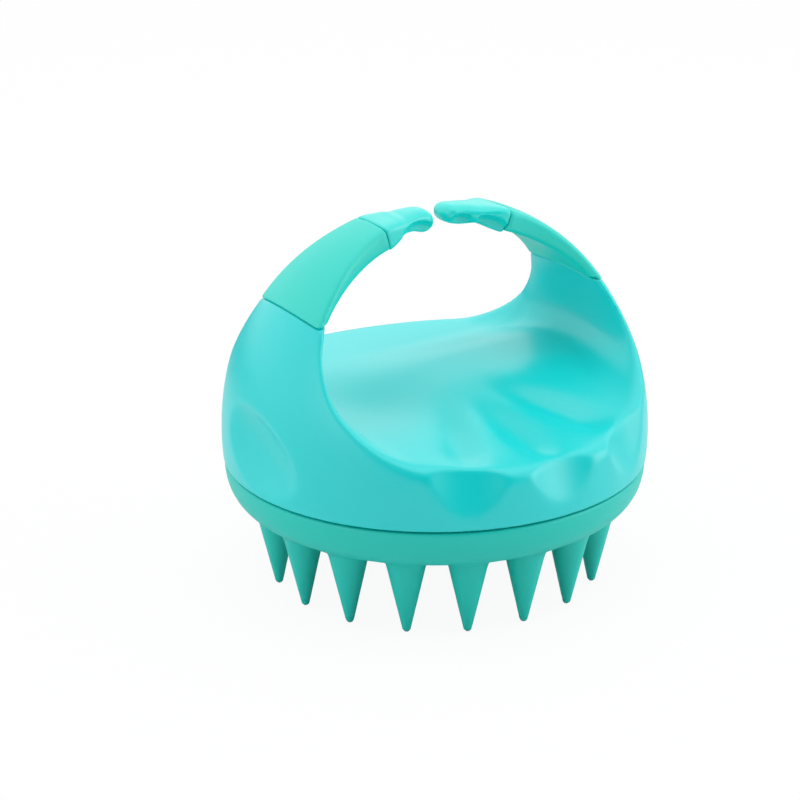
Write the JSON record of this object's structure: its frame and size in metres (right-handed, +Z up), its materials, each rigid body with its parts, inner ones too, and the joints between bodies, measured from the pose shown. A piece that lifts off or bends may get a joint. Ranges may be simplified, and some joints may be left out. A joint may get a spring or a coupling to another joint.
{
  "type": "scalp massager brush",
  "caption": "Hand-held scalp massager: a hollow dome handle with a hand opening under two flexing arms, over a pull-off silicone head of cone bristles.",
  "frame": {"origin": "centre of the circle the long bristle tips stand on, on the resting plane", "axes": "+Z up through the dome, +X through the right arm, -Y over the front lip with the finger grooves"},
  "size_m": [0.085, 0.085, 0.0747],
  "materials": {
    "shell": "satin turquoise hard plastic",
    "sleeve": "matte sea-green soft elastomer",
    "fingertip": "satin light cyan hard plastic",
    "silicone": "matte green silicone",
    "plate": "matte off-white plastic",
    "strap": "natural springy plastic",
    "seal": "matte black rubber",
    "steel": "stainless steel"
  },
  "bodies": {
    "handle": {"handle_shell": "shell", "base_plate": "plate", "base_screws": "steel", "seal_ring": "seal", "left_arm_core": "strap", "right_arm_core": "strap"},
    "left_arm": {"left_arm_sleeve": "sleeve", "left_fingertip": "fingertip"},
    "right_arm": {"right_arm_sleeve": "sleeve", "right_fingertip": "fingertip"},
    "head": {"bristle_head": "silicone"}
  },
  "joints": [
    {"name": "left_arm_flex", "type": "hinge", "parent": "handle", "child": "left_arm", "pos_m": [-0.03358, 0, 0.05825], "axis": [0, -1, 0], "range_deg": [0, 15], "stiffness_Nm_per_rad": 0.4, "deforming": ["left_arm_core"]},
    {"name": "right_arm_flex", "type": "hinge", "parent": "handle", "child": "right_arm", "pos_m": [0.03358, 0, 0.05825], "axis": [0, 1, 0], "range_deg": [0, 15], "stiffness_Nm_per_rad": 0.4, "deforming": ["right_arm_core"]},
    {"name": "head_pull", "type": "slide", "parent": "handle", "child": "head", "axis": [0, 0, -1], "range_m": [0, 0.03]}
  ]
}
